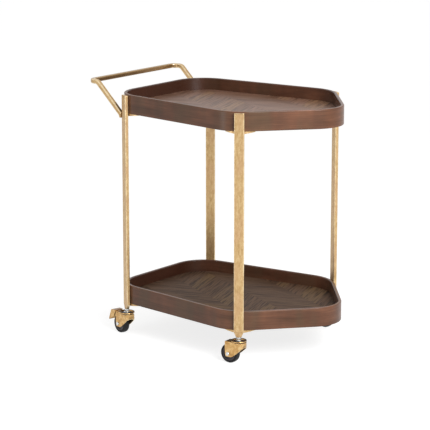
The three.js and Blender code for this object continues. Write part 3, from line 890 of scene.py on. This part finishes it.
def leg_models(gold, worn_and_highlit_gold):
    """The tube, the cap that closes it and the solid tip that narrows to the caster."""
    tube = leg_block("leg_model", LEG_BOTTOM, LEG_TOP - LEG_CAP - TOUCH_GAP)
    round_uprights()
    close_mesh()
    cap = leg_block("cap_model", LEG_TOP - LEG_CAP, LEG_TOP)
    round_uprights()
    pick("faces", lambda face: face.normal.z > SQUARELY)
    round_off("EDGES", LEG_CAP_ROUNDING, LEG_CAP_STEPS)
    close_mesh()
    tip = leg_block("tip_model", TIP_HEIGHT, LEG_BOTTOM - TOUCH_GAP)
    pick("faces", lambda face: face.normal.z < -SQUARELY)
    resize((TIP_WIDTH / LEG_WIDTH, TIP_DEPTH / LEG_DEPTH, 1))
    round_uprights()
    close_mesh()
    for piece in (tube, cap, tip):
        soften(piece, 0)
        # Worn edges and painted highlight on the rounded upright edges
        two_tone(piece, gold, worn_and_highlit_gold, is_rounding)
    return tube, cap, tip


def build_legs(gold, worn_and_highlit_gold):
    models = leg_models(gold, worn_and_highlit_gold)
    for name, which, facing, _, _ in CORNERS:
        matrix = standing(which, facing, facing - math.pi / 2)
        for model, piece_name, node in zip(
            models, ("leg_tube", "leg_end_cap", "leg_tip"), ("leg", "leg_cap", "leg_foot")
        ):
            piece = set_down(model, f"{piece_name}_{name}", matrix)
            dress(piece, None, "root", "antique_gold", f"{node}_{name}")
    put_away(*models)


# Corner plates and their screws


def plate_model(radius):
    """Pressed plate under a tray corner. Its outer edge follows the rim and turns down in a lip
    that is deepest behind the leg, and its tail narrows to the screw."""
    wall = -LEG_DEPTH / 2 - TOUCH_GAP
    half_turn = math.asin(PLATE_HALF / radius)
    ends = wall - radius * (1 - math.cos(half_turn))
    shoulder = ends - PLATE_CUT
    tail = wall - PLATE_REACH
    model = section(
        "plate_model", (0, (ends + shoulder) / 2, PLATE_THICKNESS), 2 * PLATE_HALF, ends - shoulder)
    pick("verts", lambda vertex: vertex.co.y < (shoulder + SLACK) * MM)
    resize(((PLATE_HALF - PLATE_TAPER) / PLATE_HALF, 1, 1))
    extrude((0, (tail - shoulder) * MM, 0))
    resize((PLATE_TAIL_HALF / (PLATE_HALF - PLATE_TAPER), 1, 1))
    pick("edges", beyond(1, ends))
    bpy.ops.mesh.subdivide(number_cuts=PLATE_ARC_CUTS)
    for cut in range(1, PLATE_ARC_CUTS + 1):
        x = PLATE_HALF * (2 * cut / (PLATE_ARC_CUTS + 1) - 1)
        rise = radius * (math.cos(math.asin(x / radius)) - math.cos(half_turn))
        pick_at(Vector((x, ends, PLATE_THICKNESS)) * MM)
        move((0, rise * MM, 0))
    pick("edges", beyond(1, ends))
    extrude((0, 0, -PLATE_LIP_END * MM))
    for place in picked():
        drop = (PLATE_LIP - PLATE_LIP_END) * (1 - abs(place.x) / (PLATE_HALF * MM))
        pick_at(place)
        move((0, 0, -drop * MM))
    close_mesh()
    modify(model, "SOLIDIFY", thickness=PLATE_SHEET * MM, offset=-1, use_even_offset=True)
    soften(model, PLATE_EDGE)
    return model


def screw_model():
    """Pan head with a cross recess, seen from below."""
    top = SCREW_HEAD_HEIGHT
    model = turned("screw_model", [
        (0.6, 0.0), (1.6, 0.05), (2.9, 0.35), (3.8, 0.95), (SCREW_HEAD_RADIUS, 1.7),
        (SCREW_HEAD_RADIUS, top), (1.9, top), (1.9, 13.5), (0.7, 17.6),
    ], facets=24)
    for turn in (0, math.pi / 2):
        slot = block(
            "slot", (-SCREW_SLOT_REACH, -SCREW_SLOT_HALF, -SCREW_SLOT_OVERRUN),
            (SCREW_SLOT_REACH, SCREW_SLOT_HALF, SCREW_SLOT_DEPTH))
        slot.rotation_euler.z = turn
        settle(slot)
        modify(model, "BOOLEAN", operation="DIFFERENCE", object=slot, solver="EXACT")
        bpy.data.objects.remove(slot)
    return model


def build_plates(gold, zinc):
    radii = {ROUNDS[which][1] for _, which, *_ in CORNERS}
    plates = {radius: plate_model(radius * PLATE_ARC_SHARE) for radius in sorted(radii)}
    screw = screw_model()
    inset = -LEG_DEPTH / 2 - TOUCH_GAP - SCREW_INSET
    for name, which, facing, _, _ in CORNERS:
        stand = standing(which, facing, facing - math.pi / 2)
        for level, top in (("upper", UPPER_RIM_TOP), ("lower", LOWER_RIM_TOP)):
            under = top - RIM_HEIGHT - TOUCH_GAP - PLATE_THICKNESS
            head = under + PLATE_THICKNESS - PLATE_SHEET - TOUCH_GAP - SCREW_HEAD_HEIGHT
            piece = set_down(
                plates[ROUNDS[which][1]], f"{level}_corner_plate_{name}",
                stand @ Matrix.Translation((0, 0, under * MM)))
            dress(piece, gold, "root", "antique_gold", f"{level}_bracket_{name}")
            piece = set_down(
                screw, f"{level}_plate_screw_{name}",
                stand @ Matrix.Translation((0, inset * MM, head * MM)))
            dress(piece, zinc, "root", "zinc_steel", f"{level}_bracket_screw_{name}")
    put_away(screw, *plates.values())


# Push handle


class Walk:
    """Draws the open section along runs and bends, from a point and a direction in millimetres."""

    def __init__(self, at, ahead):
        self.at = Vector(at)
        self.ahead = Vector(ahead)

    def run(self, length):
        step = self.ahead * length
        extrude(step * MM)
        self.at += step

    def bend(self, axis, angle, radius):
        inward = Matrix.Rotation(math.copysign(math.pi / 2, angle), 3, axis) @ self.ahead
        centre = self.at + inward * radius
        spin(centre * MM, axis, angle, HANDLE_BEND_STEPS)
        turn = Matrix.Rotation(angle, 3, axis)
        self.at = centre + turn @ (self.at - centre)
        self.ahead = turn @ self.ahead


def side_of_leg(which, facing, distance):
    """Point outside the narrow side of a rear leg, and the direction out of it."""
    out = toward(facing + math.copysign(math.pi / 2, facing))
    return leg_centre(which, facing) + out * (LEG_WIDTH / 2 + distance), out


def tail_centre(which, facing):
    beside, _ = side_of_leg(which, facing, HANDLE_TAIL_INSET)
    turn = abs(math.cos(facing)) + abs(math.sin(facing))
    reach = (HANDLE_SIZE / 2 - HANDLE_ROUNDING) * turn + HANDLE_ROUNDING
    return beside + (reach - LEG_DEPTH / 2) * toward(facing)


def is_narrow(face):
    """Faces of the arms' rounded edges, narrower than the flats, for worn edges and painted highlight.
    The bar's edges keep the bar's painted shade.
    """
    longest = max(edge.calc_length() for edge in face.edges)
    on_arm = face.calc_center_median().x > -(HANDLE_REACH - HANDLE_SIZE) * MM
    return on_arm and face.calc_area() / longest < HANDLE_EDGE_FACE * MM


def build_handle(gold, worn_and_highlit_gold):
    """Square tube drawn up from one rear leg, over the bar and down to the other."""
    rear = (CORNERS[0], CORNERS[3])
    tail = tail_centre(rear[0][1], rear[0][2])
    bar_x = -HANDLE_REACH + HANDLE_SIZE / 2
    bar_z = HANDLE_TOP - HANDLE_SIZE / 2
    arm_reach = tail.x - bar_x - HANDLE_END_BEND - HANDLE_LEVEL_RUN
    arm_run = (arm_reach - HANDLE_ARM_BEND) / math.cos(HANDLE_SLOPE)
    arm_drop = HANDLE_ARM_BEND + arm_run * math.sin(HANDLE_SLOPE)
    tail_run = bar_z - arm_drop - HANDLE_TAIL_BOTTOM
    steepening = math.pi / 2 - HANDLE_SLOPE
    tube = section("handle_tube", (tail.x, tail.y, HANDLE_TAIL_BOTTOM), HANDLE_SIZE, HANDLE_SIZE)
    round_off("VERTICES", HANDLE_ROUNDING, HANDLE_ROUNDING_STEPS)
    keep_outline()
    walk = Walk((tail.x, tail.y, HANDLE_TAIL_BOTTOM), UP)
    walk.run(tail_run)
    walk.bend(ACROSS, -steepening, HANDLE_ARM_BEND)
    walk.run(arm_run)
    walk.bend(ACROSS, -HANDLE_SLOPE, HANDLE_ARM_BEND)
    walk.run(HANDLE_LEVEL_RUN)
    walk.bend(UP, -math.pi / 2, HANDLE_END_BEND)
    walk.run(-2 * tail.y - 2 * HANDLE_END_BEND)
    walk.bend(UP, -math.pi / 2, HANDLE_END_BEND)
    walk.run(HANDLE_LEVEL_RUN)
    walk.bend(ACROSS, HANDLE_SLOPE, HANDLE_ARM_BEND)
    walk.run(arm_run)
    walk.bend(ACROSS, steepening, HANDLE_ARM_BEND)
    walk.run(tail_run)
    pick_all()
    bpy.ops.mesh.fill_holes(sides=0)
    for _, which, facing, _, _ in rear:
        face, out = side_of_leg(which, facing, TOUCH_GAP)
        pick_all()
        bpy.ops.mesh.bisect(
            plane_co=(face * MM).to_3d(), plane_no=out.to_3d(), use_fill=True, clear_inner=True)
    close_mesh()
    soften(tube, 0)
    # Worn edges and painted highlight on the arms' rounded edges
    two_tone(tube, gold, worn_and_highlit_gold, is_narrow)
    dress(tube, None, "root", "antique_gold", "push_handle")


# Casters, drawn with the stem on the Z axis and the wheel trailing to +X


# Rows down the fork's cheek: height, then the X of its front edge, its middle line and its back edge
FORK_ROWS = (
    (47.0, -15.2, BRAKED_TOP_END, FORK_REAR),
    (41.5, -15.0, 24.4, 34.4),
    (38.0, -12.2, 24.4, 34.3),
    (33.5, -6.9, 24.4, 34.1),
    (28.5, -1.0, 24.4, 33.8),
    (24.0, 4.9, 24.4, 33.4),
    (20.6, 9.6, 24.4, 32.9),
    (18.4, 13.6, 24.4, 31.6),
    (17.5, 17.4, 24.5, 29.4),
)


def fork_model(braked, brass, rubbed_and_highlit_brass):
    """Bent steel sheet: a flat top with two cheeks that narrow to the axle."""
    inner = FORK_OUTER_HALF - FORK_BEND
    length = BRAKED_TOP_END - FORK_FRONT
    model = section("fork_model", (FORK_FRONT + length / 2, inner / 2, FORK_TOP), length, inner)
    pick("edges", beyond(0, BRAKED_TOP_END))
    extrude(((FORK_REAR - BRAKED_TOP_END) * MM, 0, 0))
    pick("edges", beyond(1, inner))
    spin((0, inner * MM, (FORK_TOP - FORK_BEND) * MM), Vector((1, 0, 0)), -math.pi / 2, FORK_BEND_STEPS)
    height = FORK_TOP - FORK_BEND
    for next_height, *places in FORK_ROWS:
        extrude((0, 0, (next_height - height) * MM))
        height = next_height
        for now, then in zip(sorted(picked(), key=lambda co: co.x), places):
            pick_at(now)
            move((then * MM - now.x, 0, 0))
        pick("verts", lambda vertex: abs(vertex.co.z - height * MM) < SAME_PLACE * MM)
    if braked:
        pick("faces", lambda face: face.calc_center_median().x > BRAKED_TOP_END * MM
             and face.calc_center_median().z > (FORK_TOP - FORK_BEND) * MM)
        bpy.ops.mesh.delete(type="FACE")
    close_mesh()
    mirror_sheet(model)
    for finish in (brass, rubbed_and_highlit_brass):
        model.data.materials.append(finish)
    # Worn edges and painted highlight: the sheet's cut edges get the rubbed brass
    modify(model, "SOLIDIFY", thickness=FORK_SHEET * MM, offset=-1, material_offset_rim=1)
    soften_sheet(model, FORK_EDGE)
    return model


def skirt_model(brass, rubbed_and_highlit_brass):
    """Front of the fork: the sheet turns down round the race, higher in front than at its ends."""
    front = CROWN_RADIUS - SKIRT_INSET
    inner = front - FORK_SHEET
    model = turned("skirt_model", [
        (inner, FORK_TOP), (inner, SKIRT_BOTTOM), (front, SKIRT_BOTTOM), (front, FORK_TOP),
    ], facets=72, ring=True)
    rise = Vector((CROWN_RADIUS + FORK_FRONT, 0, -SKIRT_RISE)).cross(ACROSS)
    for height, normal in ((0.0, (1, 0, 0)), (SKIRT_BOTTOM, -rise)):
        place = (FORK_FRONT * MM, 0, height * MM)
        open_mesh(model)
        bpy.ops.mesh.bisect(plane_co=place, plane_no=tuple(normal), use_fill=True, clear_outer=True)
        close_mesh()
    # Worn edges and painted highlight: the hem's downward faces get the rubbed brass
    two_tone(model, brass, rubbed_and_highlit_brass, lambda face: face.normal.z < -SKIRT_HEM)
    soften_sheet(model, SKIRT_EDGE)
    return model


def lay_across(model, x, z):
    """Turns a model from the Z axis onto a level one through this place."""
    model.rotation_euler.x = math.pi / 2
    model.location = (x * MM, 0, z * MM)
    settle(model)
    return model


def lay_on_axle(model):
    return lay_across(model, WHEEL_TRAIL, WHEEL_RADIUS)


def both_sides(half):
    """Ring profile that is alike on both sides, from its upper half, inside to outside."""
    return [*((radius, -height) for radius, height in half), *reversed(half)]


def tyre_model():
    side = 9.0
    return lay_on_axle(turned("tyre_model", both_sides([
        (20.2, side - 1.6), (21.0, side - 0.5), (22.0, side), (23.2, side - 0.2), (24.3, side - 1.2),
        (25.0, side - 2.8), (25.3, side - 5.0), (WHEEL_RADIUS, side - 8.0),
    ]), facets=64, ring=True))


def hub_model():
    bore = 3.35
    return lay_on_axle(turned("hub_model", both_sides([
        (bore, 10.6), (6.6, 10.6), (8.0, 9.6), (8.0, 7.2), (9.0, 6.2), (14.6, 5.6), (15.4, 6.0),
        (16.2, 8.2), (17.0, 8.6), (19.0, 8.5), (19.7, 7.8),
    ]), facets=48, rounding=HUB_EDGE, ring=True))


def axle_model():
    head = 13.8
    half = [
        (2.9, head - 0.6), (4.8, head), (4.8, head + 0.8), (4.3, head + 1.7), (3.0, head + 2.3),
        (1.3, head + 2.6),
    ]
    lower = [(radius, -height) for radius, height in reversed(half)]
    return lay_on_axle(turned("axle_model", [*lower, *half], facets=32))


def stem_model():
    return turned("stem_model", [
        (7.4, 53.0), (7.4, 55.6), (5.0, 55.6), (5.0, 61.2), (8.5, 61.2), (8.5, 62.8), (7.6, 63.4),
        (6.2, 63.8), (6.2, 69.9), (5.4, 70.7), (3.1, 70.7), (3.1, 81.5),
    ], facets=32, rounding=STEM_EDGE)


def race_ring_model():
    """Pressed ring round the swivel: outer wall over a groove, rolled lip and inner wall."""
    return turned("race_ring_model", [
        (16.2, 60.0), (19.8, 60.0), (CROWN_RADIUS, 60.6), (CROWN_RADIUS, 61.8), (20.0, 62.7),
        (19.4, 63.1), (18.2, 63.1), (17.2, 62.6), (16.4, 61.4),
    ], facets=56, ring=True)


def race_seal_model():
    """Black ring that sits on the ring's lip."""
    return turned("race_seal_model", [
        (17.7, 63.15), (19.5, 63.05), (20.0, 62.75), (20.1, 63.1), (19.5, 63.45), (17.9, CROWN_TOP),
    ], facets=56, ring=True)


def race_floor_model():
    """Floor of the swivel's ball race, dark, and the dark groove under the ring, a painted shadow
    of the ring on the fork.
    """
    # Painted shadow: the dark groove under the ring
    return turned("race_floor_model", [
        (5.35, 58.1), (17.8, 58.1), (17.8, 59.9), (15.9, 60.3), (13.0, 60.9), (9.6, 60.7),
        (5.35, 60.9),
    ], facets=48, ring=True)


# Brake pedal. Its line runs from over the tyre down to the toe, and its arm goes out and up from
# the boss in two stretches, with a share of the boss's height.
PEDAL_SHEET = 2.2
PEDAL_HALF = 12.6
PEDAL_FOLD = 0.5
PEDAL_EDGE = 0.5
PEDAL_LINE = (
    (40.0, 60.0), (46.0, 60.3), (52.0, 60.0), (55.5, 59.2), (58.5, 57.0), (62.5, 47.5),
    (66.0, 38.5), (69.0, 29.5),
)
PEDAL_CHEEK_FOOT = (40.0, 54.0)
PEDAL_CHEEK_BACK = (46.0, 40.0)
PEDAL_START = 2.0
PEDAL_BOSS = 3.3
PEDAL_ARM_HALF = 10.6
PEDAL_ARM_STRETCHES = ((7.6, 1.2), (7.0, 1.0))
PEDAL_ARM_MIDDLE = 2.2
PEDAL_ARM_SHARE = 0.5
PEDAL_ARM_EDGE = 0.9
PIN_RADIUS = 1.5
PIN_CHAMFER = 0.3


def cheek_bottom(x):
    """Height of the pedal cheek's lower edge: down to its back point, then on to the toe."""
    foot, back, toe = PEDAL_CHEEK_FOOT, PEDAL_CHEEK_BACK, PEDAL_LINE[-1]
    start, end = (foot, back) if x < back[0] else (back, toe)
    return start[1] + (x - start[0]) / (end[0] - start[0]) * (end[1] - start[1])


def pedal_model(brass, shaded_brass):
    """Bent sheet brake pedal, from over the tyre down to the toe, with a cheek each side."""
    (x, z), *rest = PEDAL_LINE
    model = section("pedal_model", (x - PEDAL_START / 2, PEDAL_HALF / 2, z), PEDAL_START, PEDAL_HALF)
    pick("verts", lambda vertex: vertex.co.x > (x - SLACK) * MM)
    for next_x, next_z in rest:
        extrude(((next_x - x) * MM, 0, (next_z - z) * MM))
        x, z = next_x, next_z
    at_side, past_start = beyond(1, PEDAL_HALF), beyond(0, PEDAL_LINE[0][0])
    pick("edges", lambda edge: at_side(edge) and past_start(edge))
    extrude((0, 0, -PEDAL_FOLD * MM))
    for place in picked():
        top = place.z + PEDAL_FOLD * MM
        pick_at(place)
        move((0, 0, min(top, cheek_bottom(place.x / MM) * MM) - place.z))
    close_mesh()
    mirror_sheet(model)
    modify(model, "SOLIDIFY", thickness=PEDAL_SHEET * MM, offset=-1)
    # Painted shade: the pedal's upward faces get the shaded brass
    two_tone(model, brass, shaded_brass, lambda face: face.normal.z > PEDAL_TOP)
    soften_sheet(model, PEDAL_EDGE)
    return model


def pedal_arm_model():
    """Boss on the pin, whose lower corner is the brake shoe, and the arm from it to the pedal."""
    pivot_x, pivot_z = BRAKE_PIVOT
    model = block(
        "pedal_arm_model", (pivot_x - PEDAL_BOSS, -PEDAL_ARM_HALF, pivot_z - PEDAL_BOSS),
        (pivot_x + PEDAL_BOSS, PEDAL_ARM_HALF, pivot_z + PEDAL_BOSS))
    open_mesh(model)
    pick("faces", lambda face: face.normal.x > SQUARELY)
    (first_out, first_up), (last_out, last_up) = PEDAL_ARM_STRETCHES
    extrude((first_out * MM, 0, first_up * MM))
    resize((1, 1, PEDAL_ARM_SHARE), (0, 0, (pivot_z + PEDAL_ARM_MIDDLE) * MM))
    extrude((last_out * MM, 0, last_up * MM))
    close_mesh()
    soften(model, PEDAL_ARM_EDGE)
    return model


def pin_model():
    end, tip = FORK_OUTER_HALF, PIN_RADIUS - PIN_CHAMFER
    return lay_across(turned("pin_model", [
        (tip, -end), (PIN_RADIUS, PIN_CHAMFER - end), (PIN_RADIUS, end - PIN_CHAMFER), (tip, end),
    ], facets=20), *BRAKE_PIVOT)


def build_casters(brass, rubbed_and_highlit_brass, shaded_brass, zinc, nylon, rubber):
    forks = {braked: fork_model(braked, brass, rubbed_and_highlit_brass) for braked in (True, False)}
    stem, ring, seal, floor = stem_model(), race_ring_model(), race_seal_model(), race_floor_model()
    hub, tyre, axle = hub_model(), tyre_model(), axle_model()
    skirt, pedal = skirt_model(brass, rubbed_and_highlit_brass), pedal_model(brass, shaded_brass)
    arm, pin = pedal_arm_model(), pin_model()
    for name, which, facing, heading, braked in CORNERS:
        matrix = standing(which, facing, heading)
        swivel, wheel, brake = f"caster_{name}", f"wheel_{name}", f"brake_{name}"
        # Model, name, finish, body, slot and the solid it stands for, if there is one
        rows = [
            (forks[braked], "fork_sheet", None, swivel, "antique_gold", "caster_fork"),
            (skirt, "fork_skirt", None, swivel, "antique_gold"),
            (ring, "race_ring", brass, swivel, "antique_gold"),
            (seal, "race_seal", rubber, swivel, "black_plastic"),
            (floor, "race_floor", nylon, swivel, "black_plastic"),
            (stem, "swivel_stem", zinc, "root", "zinc_steel", "caster_stem"),
            (axle, "axle_rivet", zinc, swivel, "zinc_steel", "axle"),
            (hub, "hub", nylon, wheel, "black_plastic", "wheel_hub"),
            (tyre, "tyre_ring", rubber, wheel, "black_rubber", "tyre"),
        ]
        if braked:
            rows += [
                (pedal, "pedal_sheet", None, brake, "antique_gold", "brake_pedal"),
                (arm, "pedal_arm", brass, brake, "antique_gold"),
                (pin, "pedal_pin", zinc, swivel, "zinc_steel", "brake_pin"),
            ]
        for model, label, finish, body, slot, *nodes in rows:
            piece = set_down(model, f"{label}_{name}", matrix)
            dress(piece, finish, body, slot, *(f"{node}_{name}" for node in nodes))
    put_away(*forks.values(), stem, ring, seal, floor, hub, tyre, axle, skirt, pedal, arm, pin)


build_camera()
build_floor()
build_light()
gold = antique_gold_leaf("antique_gold_leaf", wear_and_highlight=0.0, smoothest=0.24, roughest=0.44)
# Rounded edges: worn gold with a painted highlight
worn_and_highlit_gold = antique_gold_leaf("worn_gold_edges_and_painted_highlight", wear_and_highlight=0.8, smoothest=0.22, roughest=0.36)
# The handle's gold has painted shade on its inner and lower faces and on the push bar
grip_gold = antique_gold_leaf(
    "hand_rubbed_gold_leaf_with_painted_shade", wear_and_highlight=0.0, smoothest=0.22, roughest=0.36,
    stretch=(0.6, 0.25, 0.6), shaded_side=(0.93, 0, -0.36), bar_shade=0.7)
zinc = zinc_plated_steel()
build_trays(stained_walnut_rim())
build_legs(gold, worn_and_highlit_gold)
build_plates(gold, zinc)
build_handle(grip_gold, worn_and_highlit_gold)
# The sheet's downward faces get painted shade
brass = antique_brass_plate("antique_brass_plate", BRASS, under_shade=0.8)
# Worn edges and painted highlight
rubbed_and_highlit_brass = antique_brass_plate("rubbed_brass_edges_and_painted_highlight", RUBBED_AND_HIGHLIT_BRASS, under_shade=0.0)
# Painted shade for the pedal's top
shaded_brass = antique_brass_plate("brass_with_painted_shade", SHADED_BRASS, under_shade=0.8)
build_casters(brass, rubbed_and_highlit_brass, shaded_brass, zinc, black_nylon(), black_rubber())

bpy.context.scene.view_settings.view_transform = "Standard"
